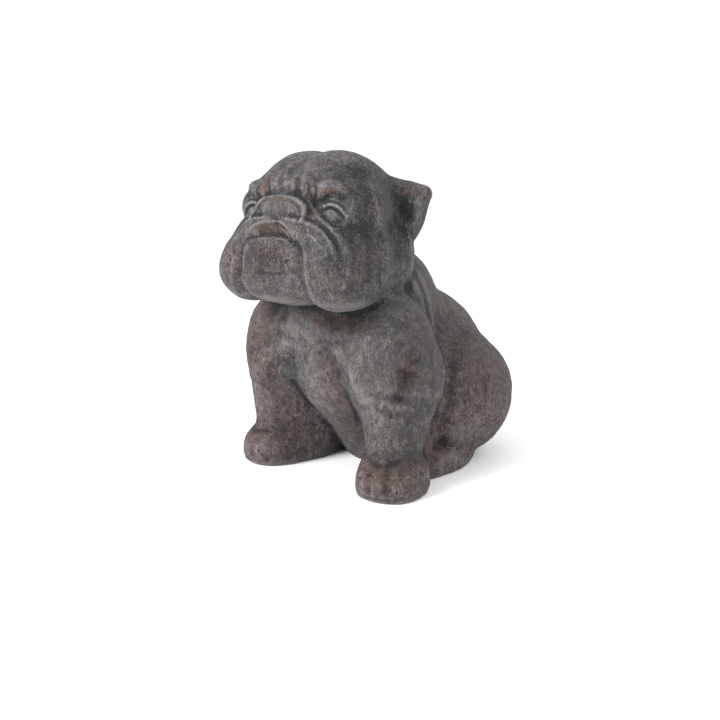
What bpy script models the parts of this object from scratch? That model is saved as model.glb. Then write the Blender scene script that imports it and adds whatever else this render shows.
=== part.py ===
"""A seated bulldog cast in one piece, modelled in metres with +Z up and the dog facing -Y."""
import math
from dataclasses import dataclass

import bmesh
import bpy
import numpy as np
from mathutils import Euler, Matrix, Vector

# Driving size: from the ground to the crown of the skull
HEIGHT = 0.360
# Every form below is given in hundredths of the height, and becomes metres in the last step
HUNDREDTH = HEIGHT / 100.0

# Skin resolution, in hundredths of the height
VOXEL = 1.3
TRIANGLES = 9600
# Vertices this near the ground are brought down or up to it before the cut
GROUND_SNAP = 0.35

# Rounds that even out the skin, and rounds after them that only bring it onto the form
RELAX_ROUNDS = 6
SEAT_ROUNDS = 3
# The furthest that one round moves a vertex towards the form
LONGEST_STEP = 1.5
# The least slope that a step is worked out with, where the field is nearly flat
LEAST_SLOPE = 0.4


@dataclass(frozen=True)
class Mass:
    """One lump of the figure: an ellipsoid, or a tapered limb where `to` is given."""

    at: tuple
    radii: tuple
    blend: float = 4.0
    turn: tuple = (0.0, 0.0, 0.0)
    to: tuple = None
    both: bool = True
    square: float = 2.0
    crown: float = 2.0


@dataclass(frozen=True)
class Stroke:
    """A line of the modelling tool, cast onto the form: a ridge, or a furrow where `rise` is negative.

    Its points are (across, up) as someone sees them who stands at the azimuth `seen`, 0 being in
    front of the dog and 90 at its left side; `near` is how far towards that viewer the line begins.
    """

    seen: float
    points: tuple
    width: float
    rise: float
    near: float = 8.0
    fade: bool = True
    both: bool = True


@dataclass(frozen=True)
class Edges:
    """How softly each part of the head is joined to what it is set on, or cut into it."""

    ear_hollow: float = 1.5
    socket: float = 2.0
    eye_opening: float = 0.5
    eyelid: float = 1.2
    frown: float = 1.3
    mouth: float = 1.0
    chin: float = 0.8
    nostril: float = 0.8
    neck: float = 3.0


EDGES = Edges()

TORSO = (
    Mass((0, 14, 36), (21, 25, 22.4), 6, (-30, 0, 0), both=False),
    Mass((0, 31.5, 35), (18, 21.5, 16.5), 8, (-37, 0, 0), both=False),
    Mass((0, 22, 22), (21, 20, 23.5), 8, both=False),
    Mass((0, -8, 38), (20.5, 19.5, 20), 8, both=False),
    Mass((0, -14, 49), (19, 17, 12), 6, both=False),
    Mass((0, 3, 15), (18, 14, 22), 6, (25, 0, 0), both=False),
    Mass((0, -7.7, 25.6), (16.5, 17, 12), 6, (-44, 0, 0), both=False),
    Mass((0, -2, 58.5), (19.8, 20, 15), 12, both=False),
    Mass((0, 46.5, 20), (5.5, 6.5, 5.0), 4, (20, 0, 0), both=False),
)
LEGS = (
    Mass((22, -16, 41), (12.5, 14.5, 17), 8),
    Mass((24.5, -15.5, 31), (12, 8.0), 8, to=(24.3, -18.7, 11)),
    Mass((24.9, -19.0, 3.8), (10.6, 12.0, 7.6), 4.5, (0, 0, 14), square=2.3, crown=2.6),
    Mass((20, 21.3, 21.4), (15, 25.3, 19.9), 8, (-5, 0, 4)),
    Mass((21, 8, 4), (9.0, 15, 7), 3, square=2.4, crown=2.4),
    Mass((20, -6, 3), (7.5, 13, 5), 3, square=2.4, crown=2.4),
    Mass((18.5, -3, 14), (8, 9, 14), 4),
    Mass((19.0, -10.0, 15.0), (6.6, 9.0, 16.0), 6),
)
HEAD = (
    Mass((5.6, -21.5, 83.1), (16.2, 17.7, 17.1), 8),
    Mass((0, -14.5, 76.5), (21.5, 17.5, 17.5), 6, both=False, square=2.4, crown=2.4),
    Mass((15.5, -19, 68.5), (10.5, 16, 11.5), 5),
    Mass((0, -30, 79), (16, 9, 9), 4, both=False),
    Mass((19.3, -27.0, 83.6), (6.8, 8.2, 7.2), 4),
    Mass((13.0, -31.5, 88.4), (6.2, 5.2, 3.4), 3.5),
    Mass((0, -33, 88.5), (6, 4, 4), 4, both=False),
)
EARS = (
    Mass((18, -11, 88.7), (3.6, 1.9), 2.5, to=(26.2, -7.6, 88.2)),
    Mass((25.9, -7.2, 87.4), (2.1, 2.3), 2.0, to=(21.0, -7.5, 77)),
    Mass((21.6, -9.0, 82.8), (5.4, 3.4, 7.0), 4.0, (0, -20, -22)),
)
EAR_HOLLOWS = (Mass((26.9, -14.0, 84.2), (4.8, 2.6, 4.8), 2.5, (0, -28, -22)),)
SOCKETS = (
    Mass((15.9, -38.3, 82.6), (7.0, 3.1, 4.3), 2.0, (0, 6, 0)),
    Mass((11.4, -39.2, 84.0), (2.4, 3.0, 3.8), 1.5),
)
EYELIDS = (Mass((16.2, -31.5, 82.6), (7.2, 5.2, 5.4), 1.2, (0, 0, 12)),)
EYE_OPENINGS = (Mass((16.2, -37.6, 82.2), (6.3, 3.8, 3.4), 0.5, (0, 12, 0)),)
EYES = (Mass((16.2, -31.6, 82.4), (6.2, 4.5, 4.5), 0.3, (0, 0, 12)),)
FROWN = (
    Mass((-6.9, -38.6, 88.2), (1.1, 0.8), 1.3, to=(-8.3, -37.3, 92.2), both=False),
    Mass((-1.3, -38.8, 89.6), (0.9, 0.7), 1.3, to=(-2.6, -37.0, 92.8), both=False),
    Mass((5.5, -38.7, 88.9), (1.1, 0.8), 1.3, to=(4.5, -37.2, 92.4), both=False),
    Mass((9.6, -38.9, 87.4), (1.1, 0.8), 1.3, to=(8.2, -37.9, 91.0), both=False),
)
FLEWS = (
    Mass((17.4, -33.0, 66.5), (9.5, 11.9, 10.9), 6, (0, -28, 0), square=2.4, crown=2.3),
    Mass((9.0, -35.3, 78.0), (10.0, 7.4, 5.2), 5, (0, 28, 0)),
)
MOUTH = (Mass((-1.1, -44.3, 77.2), (6.3, 3.3, 2.6), 1.0, both=False, square=2.4, crown=2.4),)
CHIN = (
    Mass((-0.9, -35.8, 70.3), (12.9, 9.5, 6.1), 3, both=False, square=3.6, crown=3.0),
    Mass((0, -34.2, 64.3), (16.2, 11.0, 8.2), 3, both=False, square=3.8, crown=2.3),
)
NOSE = (Mass((0, -37.0, 83.7), (8.7, 4.7, 3.3), 0.8, both=False, square=2.6, crown=2.5),)
NOSTRILS = (Mass((7.4, -42.5, 82.9), (2.5, 1.6, 1.4), 0.8, (0, -25, 0)),)
STROKES = (
    # Furrow along the skull
    Stroke(0, ((0, 92.0), (0, 98), (0, 103)), 2.4, -0.25),
    # Brow, and the crease under it
    Stroke(42, ((-15.2, 87.9), (-13.0, 89.7), (-10.6, 90.2), (-8.1, 89.0)), 1.3, 0.6),
    Stroke(42, ((-14.4, 86.1), (-12.9, 87.7), (-10.9, 88.3), (-9.0, 87.6), (-7.7, 85.6)), 1.1, -0.65),
    # Roll round the nose, and the fold from it down the cheek
    Stroke(0, ((0, 86.9), (6, 86.3), (9.3, 84.6), (10.7, 81.6)), 0.9, 0.7, fade=False),
    Stroke(0, ((0, 88.9), (6.6, 88.1), (10.3, 86.0), (12.0, 82.6)), 1.1, -0.8),
    Stroke(42, ((-20.4, 88.6), (-18.1, 86.4), (-16.6, 83.6), (-15.0, 81), (-12.4, 78.6), (-9.7, 76.2),
                (-7.9, 73.3), (-7.4, 69), (-8.2, 64)), 1.2, 0.9),
    # Lips
    Stroke(0, ((10.6, 76.9), (13.2, 72.7), (14.6, 68.8), (16.0, 64), (16.8, 59.4)), 1.1, 0.4, fade=False),
    # Folds of the cheek, from the ear to the jaw
    Stroke(42, ((-2.6, 80), (-1.5, 74), (-1.9, 67), (-3.5, 61)), 1.6, -0.7, near=14),
    Stroke(42, ((0.5, 84), (2.6, 77), (3.2, 69), (1.4, 61)), 1.4, 0.8, near=14),
    Stroke(42, ((4.0, 80), (6.6, 73), (7.0, 67), (5.5, 61)), 1.6, -0.8, near=14),
    # Folds of skin from the neck to the elbow
    Stroke(66, ((1, 66), (6.0, 58), (8.8, 49), (8.6, 40), (5.0, 30)), 1.5, 0.6),
    Stroke(66, ((-2, 64), (3.0, 56), (5.8, 48), (5.5, 39)), 1.5, -0.6),
    # Ridge of the breastbone into the leg, and the hollow of the shoulder
    Stroke(42, ((-11, 46), (-9.9, 42), (-6.8, 36.6), (-3.0, 31), (-1.0, 27)), 2.4, 0.9, near=14),
    Stroke(42, ((10.6, 41), (9.2, 36.5), (7.4, 32), (6.4, 28)), 3.2, -0.9, near=14),
    # Furrow down the back, and the crease in front of the haunch
    Stroke(180, ((0, 66), (0, 54), (0, 42), (0, 30)), 2.4, -0.6),
    Stroke(90, ((2.5, 12), (1.5, 22), (5, 33), (14, 41), (26, 43)), 1.8, -0.6),
    # Crease across the chin
    Stroke(0, ((-6.0, 67.2), (-1, 66.0), (5.3, 66), (9.5, 67.0)), 1.4, -0.3, both=False),
    # Toes
    Stroke(20, ((13.4, 9.5), (13.0, 5.0), (13.0, 1.5)), 1.5, -0.3, near=20),
    Stroke(20, ((18.6, 9.8), (19.0, 5.0), (19.2, 1.5)), 1.5, -0.3, near=20),
)


def rotation(turn):
    """Matrix whose columns are the mass's own axes, from degrees about X, Y and Z."""
    return np.array(Euler([math.radians(t) for t in turn]).to_matrix())


def ellipsoid_distance(p, mass):
    """Near distance to a squared-off ellipsoid, (k - 1) / |grad k|.

    With q the point over the radii, s = (qx^n + qy^n)^(1/n) and k = (s^m + qz^m)^(1/m), where n
    squares off the plan and m the height.
    """
    n, m = mass.square, mass.crown
    r = np.array(mass.radii)
    q = np.abs((p - np.array(mass.at)) @ rotation(mass.turn)) / r + 1e-9
    s = (q[:, 0] ** n + q[:, 1] ** n) ** (1.0 / n)
    k = (s**m + q[:, 2] ** m) ** (1.0 / m)
    around = (s / k) ** (m - 1.0)
    slope = np.stack([around * (q[:, 0] / s) ** (n - 1.0), around * (q[:, 1] / s) ** (n - 1.0),
                      (q[:, 2] / k) ** (m - 1.0)], 1) / r
    return (k - 1.0) / np.linalg.norm(slope, axis=1)


def limb_distance(p, mass):
    """Distance to the line from `at` to `to`, less a radius that runs evenly between the two."""
    a, b = np.array(mass.at, float), np.array(mass.to, float)
    along = np.clip((p - a) @ (b - a) / ((b - a) @ (b - a)), 0.0, 1.0)
    gap = np.linalg.norm(p - a - along[:, None] * (b - a), axis=1)
    return gap - (mass.radii[0] + along * (mass.radii[1] - mass.radii[0]))


def folded(p, soften=0.8):
    """The point's mirror image on the +X side, with the fold at X = 0 softened."""
    q = p.copy()
    q[:, 0] = np.sqrt(p[:, 0] ** 2 + soften**2)
    return q


def mass_distance(p, q, mass):
    """Distance to one mass, from the mirrored point where the mass is on both sides."""
    where = q if mass.both else p
    return limb_distance(where, mass) if mass.to else ellipsoid_distance(where, mass)


def join(a, b, blend):
    """Smooth union: the lesser distance, lowered by h^2 blend / 4 where the two are within `blend`."""
    h = np.maximum(blend - np.abs(a - b), 0.0) / blend
    return np.minimum(a, b) - h * h * blend / 4.0


def carve(a, b, blend):
    """Smooth difference: what is in a and not in b."""
    return -join(-a, b, blend)


def union_of(p, q, masses, start=None):
    """Smooth union of the masses, each with its own blend, onto the distances `start` if given."""
    found = start
    for mass in masses:
        d = mass_distance(p, q, mass)
        found = d if found is None else join(found, d, mass.blend)
    return found


def bump(t):
    """A rounded bump that is 1 at t = 0 and fades out by t = 2."""
    return np.exp(-t * t)


def smooth_line(points, pieces=8):
    """Points along a Catmull-Rom curve that passes through every given point."""
    c = np.array(points, float)
    c = np.vstack([2 * c[0] - c[1], c, 2 * c[-1] - c[-2]])
    t = np.linspace(0.0, 1.0, pieces, endpoint=False)[:, None]
    runs = []
    for a, b, d, e in zip(c[:-3], c[1:-2], c[2:-1], c[3:]):
        runs.append(b + 0.5 * t * (d - a + t * (2 * a - 5 * b + 4 * d - e + t * (3 * (b - d) + e - a))))
    return np.vstack(runs + [c[-2:-1]])


def stroke_rise(p, normal, stroke):
    """How far the stroke lifts the skin at each point, less where the skin turns from the viewer."""
    az = math.radians(stroke.seen)
    viewer = np.array((math.sin(az), -math.cos(az), 0.0))
    seen = np.stack([p[:, 0] * math.cos(az) + p[:, 1] * math.sin(az), p[:, 2]], 1)
    line = smooth_line(stroke.points)
    reach = 2.5 * stroke.width
    low, high = line.min(0) - reach, line.max(0) + reach
    facing = np.clip(2.5 * (normal @ viewer) - 0.2, 0.0, 1.0)
    facing *= np.clip((p @ viewer - stroke.near) / 2.0 + 1.0, 0.0, 1.0)
    close = np.flatnonzero(((seen > low) & (seen < high)).all(1) & (facing > 0.0))
    out = np.zeros(len(p))
    if len(close) == 0:
        return out
    s = seen[close][:, None, :] - line[None, :-1]
    run = np.diff(line, axis=0)
    along = np.clip((s * run).sum(2) / np.maximum((run * run).sum(1), 1e-9), 0.0, 1.0)
    gap = np.linalg.norm(s - along[..., None] * run, axis=2)
    nearest = gap.argmin(1)
    rows = np.arange(len(close))
    where = (nearest + along[rows, nearest]) / len(run)
    rise = stroke.rise * bump(gap[rows, nearest] / stroke.width)
    if stroke.fade:
        rise *= np.clip(5.0 * where, 0.3, 1.0) * np.clip(5.0 * (1.0 - where), 0.3, 1.0)
    out[close] = rise * facing[close]
    return out


def carving(p, normal):
    """The rise of all the strokes together at each point of the skin."""
    side = np.where(p[:, :1] < 0.0, -1.0, 1.0) * np.array((1.0, 0.0, 0.0)) + np.array((0.0, 1.0, 1.0))
    q, mirrored = folded(p), normal * side
    out = np.zeros(len(p))
    for stroke in STROKES:
        out += stroke_rise(q, mirrored, stroke) if stroke.both else stroke_rise(p, normal, stroke)
    return out


def form(p):
    """Distance from each point to the figure's skin, negative inside, all in hundredths of the height."""
    q = folded(p)
    body = union_of(p, q, LEGS, union_of(p, q, TORSO))
    head = union_of(p, q, HEAD)
    head = union_of(p, q, EARS, head)
    head = carve(head, union_of(p, q, EAR_HOLLOWS), EDGES.ear_hollow)
    head = carve(head, union_of(p, q, SOCKETS), EDGES.socket)
    lids = carve(union_of(p, q, EYELIDS), union_of(p, q, EYE_OPENINGS), EDGES.eye_opening)
    head = join(head, lids, EDGES.eyelid)
    head = union_of(p, q, EYES, head)
    head = carve(head, union_of(p, q, FROWN), EDGES.frown)
    head = union_of(p, q, FLEWS, head)
    head = carve(head, union_of(p, q, MOUTH), EDGES.mouth)
    head = join(head, union_of(p, q, CHIN), EDGES.chin)
    head = union_of(p, q, NOSE, head)
    head = carve(head, union_of(p, q, NOSTRILS), EDGES.nostril)
    return join(body, head, EDGES.neck)


def gradient(field, p, step=0.05):
    """Central differences of the field along X, Y and Z."""
    out = np.empty_like(p)
    for axis in range(3):
        shift = np.zeros(3)
        shift[axis] = step
        out[:, axis] = (field(p + shift) - field(p - shift)) / (2 * step)
    return out


def placed(mass, flip):
    """Matrix that takes the unit sphere to the mass, mirrored to the -X side where `flip` is set."""
    turn = Euler([math.radians(t) for t in mass.turn]).to_matrix().to_4x4()
    matrix = Matrix.Translation(mass.at) @ turn @ Matrix.Diagonal((*mass.radii, 1.0))
    return Matrix.Diagonal((-1.0, 1.0, 1.0, 1.0)) @ matrix if flip else matrix


def add_limb(bm, mass, flip):
    """A cone between the two ends of a limb, with a ball on each end."""
    side = -1.0 if flip else 1.0
    ends = [Vector((side * x, y, z)) for x, y, z in (mass.at, mass.to)]
    for end, radius in zip(ends, mass.radii):
        bmesh.ops.create_uvsphere(bm, u_segments=24, v_segments=12, radius=radius,
                                  matrix=Matrix.Translation(end))
    run = ends[1] - ends[0]
    middle = Matrix.Translation((ends[0] + ends[1]) / 2) @ run.to_track_quat("Z", "Y").to_matrix().to_4x4()
    bmesh.ops.create_cone(bm, segments=24, radius1=mass.radii[0], radius2=mass.radii[1],
                          depth=run.length, cap_ends=True, matrix=middle)


def blockout():
    """One mesh of overlapping balls and cones, a lump for each mass, for the skin to be drawn round."""
    bm = bmesh.new()
    for mass in TORSO + LEGS + HEAD + EARS + FLEWS + CHIN + NOSE:
        for flip in (False, True) if mass.both else (False,):
            if mass.to:
                add_limb(bm, mass, flip)
            else:
                bmesh.ops.create_uvsphere(bm, u_segments=32, v_segments=16, radius=1.0,
                                          matrix=placed(mass, flip))
    bmesh.ops.recalc_face_normals(bm, faces=bm.faces)
    mesh = bpy.data.meshes.new("blockout")
    bm.to_mesh(mesh)
    bm.free()
    return mesh


def coordinates(mesh):
    flat = np.empty(len(mesh.vertices) * 3)
    mesh.vertices.foreach_get("co", flat)
    return flat.reshape(-1, 3)


def neighbour_mean(mesh, values):
    """For each vertex, the mean of `values` over the vertices that share an edge with it."""
    pairs = np.empty(len(mesh.edges) * 2, int)
    mesh.edges.foreach_get("vertices", pairs)
    pairs = pairs.reshape(-1, 2)
    total, count = np.zeros_like(values), np.zeros(len(values))
    for a, b in ((0, 1), (1, 0)):
        np.add.at(total, pairs[:, a], values[pairs[:, b]])
        np.add.at(count, pairs[:, a], 1.0)
    return total / count[:, None]


def settle(mesh, field):
    """Slide the vertices along the skin until they are even and on the field's zero, then carve them."""
    p = coordinates(mesh)
    for turn in range(RELAX_ROUNDS + SEAT_ROUNDS):
        slope = gradient(field, p)
        size = np.linalg.norm(slope, axis=1, keepdims=True)
        normal = slope / np.maximum(size, 1e-9)
        if turn < RELAX_ROUNDS:
            drift = neighbour_mean(mesh, p) - p
            p = p + 0.5 * (drift - (drift * normal).sum(1, keepdims=True) * normal)
        step = (field(p) / np.maximum(size[:, 0], LEAST_SLOPE))[:, None]
        p = p - np.clip(step, -LONGEST_STEP, LONGEST_STEP) * normal
    p = p + carving(p, normal)[:, None] * normal
    mesh.vertices.foreach_set("co", p.ravel())
    mesh.update()


def cut_flat(mesh):
    """Cut the casting off flat at the ground, Z = 0, and close the cut."""
    p = coordinates(mesh)
    p[np.abs(p[:, 2]) < GROUND_SNAP, 2] = 0.0
    mesh.vertices.foreach_set("co", p.ravel())
    bm = bmesh.new()
    bm.from_mesh(mesh)
    everything = bm.verts[:] + bm.edges[:] + bm.faces[:]
    bmesh.ops.bisect_plane(bm, geom=everything, dist=0.001, plane_co=(0, 0, 0), plane_no=(0, 0, -1),
                           clear_outer=True)
    bmesh.ops.holes_fill(bm, edges=[e for e in bm.edges if e.is_boundary], sides=0)
    bmesh.ops.triangulate(bm, faces=bm.faces)
    bm.to_mesh(mesh)
    bm.free()


def to_metres(mesh):
    """Hundredths of the height to metres, centred on X and Y, with the underside at Z = 0."""
    p = coordinates(mesh)
    middle = (p.min(0) + p.max(0)) / 2
    middle[2] = p[:, 2].min()
    p = (p - middle) * HUNDREDTH
    mesh.vertices.foreach_set("co", p.ravel())
    mesh.update()


def cast_iron():
    """Dark, matt, weathered iron."""
    material = bpy.data.materials.new("cast_iron")
    material.use_nodes = True
    shader = material.node_tree.nodes["Principled BSDF"]
    shader.inputs["Base Color"].default_value = (0.115, 0.105, 0.100, 1.0)
    shader.inputs["Roughness"].default_value = 0.72
    shader.inputs["Metallic"].default_value = 0.25
    return material


def after_modifier(mesh, collection, kind, **settings):
    """The mesh as one modifier with these settings leaves it."""
    obj = bpy.data.objects.new("working", mesh)
    collection.objects.link(obj)
    modifier = obj.modifiers.new(kind, kind)
    for key, value in settings.items():
        setattr(modifier, key, value)
    depsgraph = bpy.context.evaluated_depsgraph_get()
    result = bpy.data.meshes.new_from_object(obj.evaluated_get(depsgraph))
    bpy.data.objects.remove(obj)
    return result


def bulldog(collection):
    """The casting: lumps, a skin over them, the skin settled on the form, the flat underside."""
    skin = after_modifier(blockout(), collection, "REMESH", mode="VOXEL", voxel_size=VOXEL)
    settle(skin, form)
    faces = sum(len(polygon.vertices) - 2 for polygon in skin.polygons)
    casting = after_modifier(skin, collection, "DECIMATE", ratio=TRIANGLES / faces,
                             use_collapse_triangulate=True)
    cut_flat(casting)
    to_metres(casting)
    casting.name = "bulldog_casting"
    casting.materials.append(cast_iron())
    casting.shade_smooth()
    obj = bpy.data.objects.new("bulldog_casting", casting)
    collection.objects.link(obj)
    return obj


def main():
    for obj in list(bpy.data.objects):
        bpy.data.objects.remove(obj)
    collection = bpy.data.collections.new("bulldog_statue")
    bpy.context.scene.collection.children.link(collection)
    bulldog(collection)


main()
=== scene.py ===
"""A seated bulldog of weathered cast iron: the fine skin and the patina, over the plain casting.

Shapes are given in hundredths of the dog's height, with +Z up, the dog facing -Y and the ground at
Z = 0, and become metres once the skin is finished.
"""
import logging
import math
from dataclasses import dataclass, field
from enum import Enum

import bmesh
import bpy
import numpy as np
from mathutils import Euler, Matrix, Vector


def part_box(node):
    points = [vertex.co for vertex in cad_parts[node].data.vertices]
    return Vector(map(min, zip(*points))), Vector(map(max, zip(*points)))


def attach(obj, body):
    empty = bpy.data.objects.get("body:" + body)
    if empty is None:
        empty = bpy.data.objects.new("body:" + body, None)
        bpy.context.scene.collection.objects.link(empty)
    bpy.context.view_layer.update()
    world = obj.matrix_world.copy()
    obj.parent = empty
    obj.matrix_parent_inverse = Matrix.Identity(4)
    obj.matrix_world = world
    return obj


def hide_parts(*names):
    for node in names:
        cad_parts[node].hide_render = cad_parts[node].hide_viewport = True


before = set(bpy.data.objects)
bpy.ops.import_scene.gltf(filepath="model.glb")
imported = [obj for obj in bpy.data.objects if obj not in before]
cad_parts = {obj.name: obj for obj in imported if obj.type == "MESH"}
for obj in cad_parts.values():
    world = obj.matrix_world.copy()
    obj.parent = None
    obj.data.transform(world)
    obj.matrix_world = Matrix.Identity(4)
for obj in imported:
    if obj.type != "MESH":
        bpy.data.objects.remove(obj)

log = logging.getLogger("bulldog")
CASTING = "bulldog_casting"
HEIGHT = 0.360
HUNDREDTH = HEIGHT / 100.0
# The middle of the casting's length, from the Y = 0 that the shapes are given from
MIDDLE_Y = 3.69
# Small enough to change nothing, and enough to keep a division from zero
TINY = 1e-9


@dataclass(frozen=True)
class Mass:
    """One lump of the figure: an ellipsoid, or a tapered limb where `to` is given."""

    at: tuple
    radii: tuple
    blend: float = 4.0
    turn: tuple = (0.0, 0.0, 0.0)
    to: tuple = None
    both: bool = True
    square: float = 2.0
    crown: float = 2.0


@dataclass(frozen=True)
class Stroke:
    """A line of the modelling tool, cast onto the form: a ridge, or a furrow where `rise` is negative.

    Its points are (across, up) as someone sees them who stands at the azimuth `seen`, 0 being in
    front of the dog and 90 at its left side; `near` is how far towards that viewer the line begins.
    """

    seen: float
    points: tuple
    width: float
    rise: float
    near: float = 8.0
    fade: bool = True
    both: bool = True


@dataclass(frozen=True)
class Edges:
    """How softly each part of the head is joined to what it is set on, or cut into it."""

    ear_hollow: float = 1.5
    socket: float = 2.0
    eye_opening: float = 0.5
    eyelid: float = 1.2
    frown: float = 1.3
    mouth: float = 1.0
    chin: float = 0.8
    nostril: float = 0.8
    neck: float = 3.0
    ground: float = 0.7


EDGES = Edges()
TORSO = (
    Mass((0, 14, 36), (21, 25, 22.4), 6, (-30, 0, 0), both=False),
    Mass((0, 31.5, 35), (18, 21.5, 16.5), 8, (-37, 0, 0), both=False),
    Mass((0, 22, 22), (21, 20, 23.5), 8, both=False),
    Mass((0, -8, 38), (20.5, 19.5, 20), 8, both=False),
    Mass((0, -14, 49), (19, 17, 12), 6, both=False),
    Mass((0, 3, 15), (18, 14, 22), 6, (25, 0, 0), both=False),
    Mass((0, -7.7, 25.6), (16.5, 17, 12), 6, (-44, 0, 0), both=False),
    Mass((0, -2, 58.5), (19.8, 20, 15), 12, both=False),
    Mass((0, 46.5, 20), (5.5, 6.5, 5.0), 4, (20, 0, 0), both=False),
)
LEGS = (
    Mass((22, -16, 41), (12.5, 14.5, 17), 8),
    Mass((24.5, -15.5, 31), (12, 8.0), 8, to=(24.3, -18.7, 11)),
    Mass((24.9, -19.0, 3.8), (10.6, 12.0, 7.6), 4.5, (0, 0, 14), square=2.3, crown=2.6),
    Mass((20, 21.3, 21.4), (15, 25.3, 19.9), 8, (-5, 0, 4)),
    Mass((21, 8, 4), (9.0, 15, 7), 3, square=2.4, crown=2.4),
    Mass((20, -6, 3), (7.5, 13, 5), 3, square=2.4, crown=2.4),
    Mass((18.5, -3, 14), (8, 9, 14), 4),
    Mass((19.0, -10.0, 15.0), (6.6, 9.0, 16.0), 6),
)
HEAD = (
    Mass((5.6, -21.5, 83.1), (16.2, 17.7, 17.1), 8),
    Mass((0, -14.5, 76.5), (21.5, 17.5, 17.5), 6, both=False, square=2.4, crown=2.4),
    Mass((15.5, -19, 68.5), (10.5, 16, 11.5), 5),
    Mass((0, -30, 79), (16, 9, 9), 4, both=False),
    Mass((19.3, -27.0, 83.6), (6.8, 8.2, 7.2), 4),
    Mass((13.0, -31.5, 88.4), (6.2, 5.2, 3.4), 3.5),
    Mass((0, -33, 88.5), (6, 4, 4), 4, both=False),
)
EARS = (
    Mass((18, -11, 88.7), (3.6, 1.9), 2.5, to=(26.2, -7.6, 88.2)),
    Mass((25.9, -7.2, 87.4), (2.1, 2.3), 2.0, to=(21.0, -7.5, 77)),
    Mass((21.6, -9.0, 82.8), (5.4, 3.4, 7.0), 4.0, (0, -20, -22)),
)
EAR_HOLLOWS = (Mass((26.9, -14.0, 84.2), (4.8, 2.6, 4.8), 2.5, (0, -28, -22)),)
SOCKETS = (
    Mass((15.9, -38.3, 82.6), (7.0, 3.1, 4.3), 2.0, (0, 6, 0)),
    Mass((11.4, -39.2, 84.0), (2.4, 3.0, 3.8), 1.5),
)
EYELIDS = (Mass((16.2, -31.5, 82.6), (7.2, 5.2, 5.4), 1.2, (0, 0, 12)),)
EYE_OPENINGS = (Mass((16.2, -37.6, 82.2), (6.3, 3.8, 3.4), 0.5, (0, 12, 0)),)
EYES = (Mass((16.2, -31.6, 82.4), (6.2, 4.5, 4.5), 0.3, (0, 0, 12)),)
FROWN = (
    Mass((-6.9, -38.6, 88.2), (1.1, 0.8), 1.3, to=(-8.3, -37.3, 92.2), both=False),
    Mass((-1.3, -38.8, 89.6), (0.9, 0.7), 1.3, to=(-2.6, -37.0, 92.8), both=False),
    Mass((5.5, -38.7, 88.9), (1.1, 0.8), 1.3, to=(4.5, -37.2, 92.4), both=False),
    Mass((9.6, -38.9, 87.4), (1.1, 0.8), 1.3, to=(8.2, -37.9, 91.0), both=False),
)
FLEWS = (
    Mass((17.4, -33.0, 66.5), (9.5, 11.9, 10.9), 6, (0, -28, 0), square=2.4, crown=2.3),
    Mass((9.0, -35.3, 78.0), (10.0, 7.4, 5.2), 5, (0, 28, 0)),
)
MOUTH = (Mass((-1.1, -44.3, 77.2), (6.3, 3.3, 2.6), 1.0, both=False, square=2.4, crown=2.4),)
CHIN = (
    Mass((-0.9, -35.8, 70.3), (12.9, 9.5, 6.1), 3, both=False, square=3.6, crown=3.0),
    Mass((0, -34.2, 64.3), (16.2, 11.0, 8.2), 3, both=False, square=3.8, crown=2.3),
)
NOSE = (Mass((0, -37.0, 83.7), (8.7, 4.7, 3.3), 0.8, both=False, square=2.6, crown=2.5),)
NOSTRILS = (Mass((7.4, -42.5, 82.9), (2.5, 1.6, 1.4), 0.8, (0, -25, 0)),)
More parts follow.
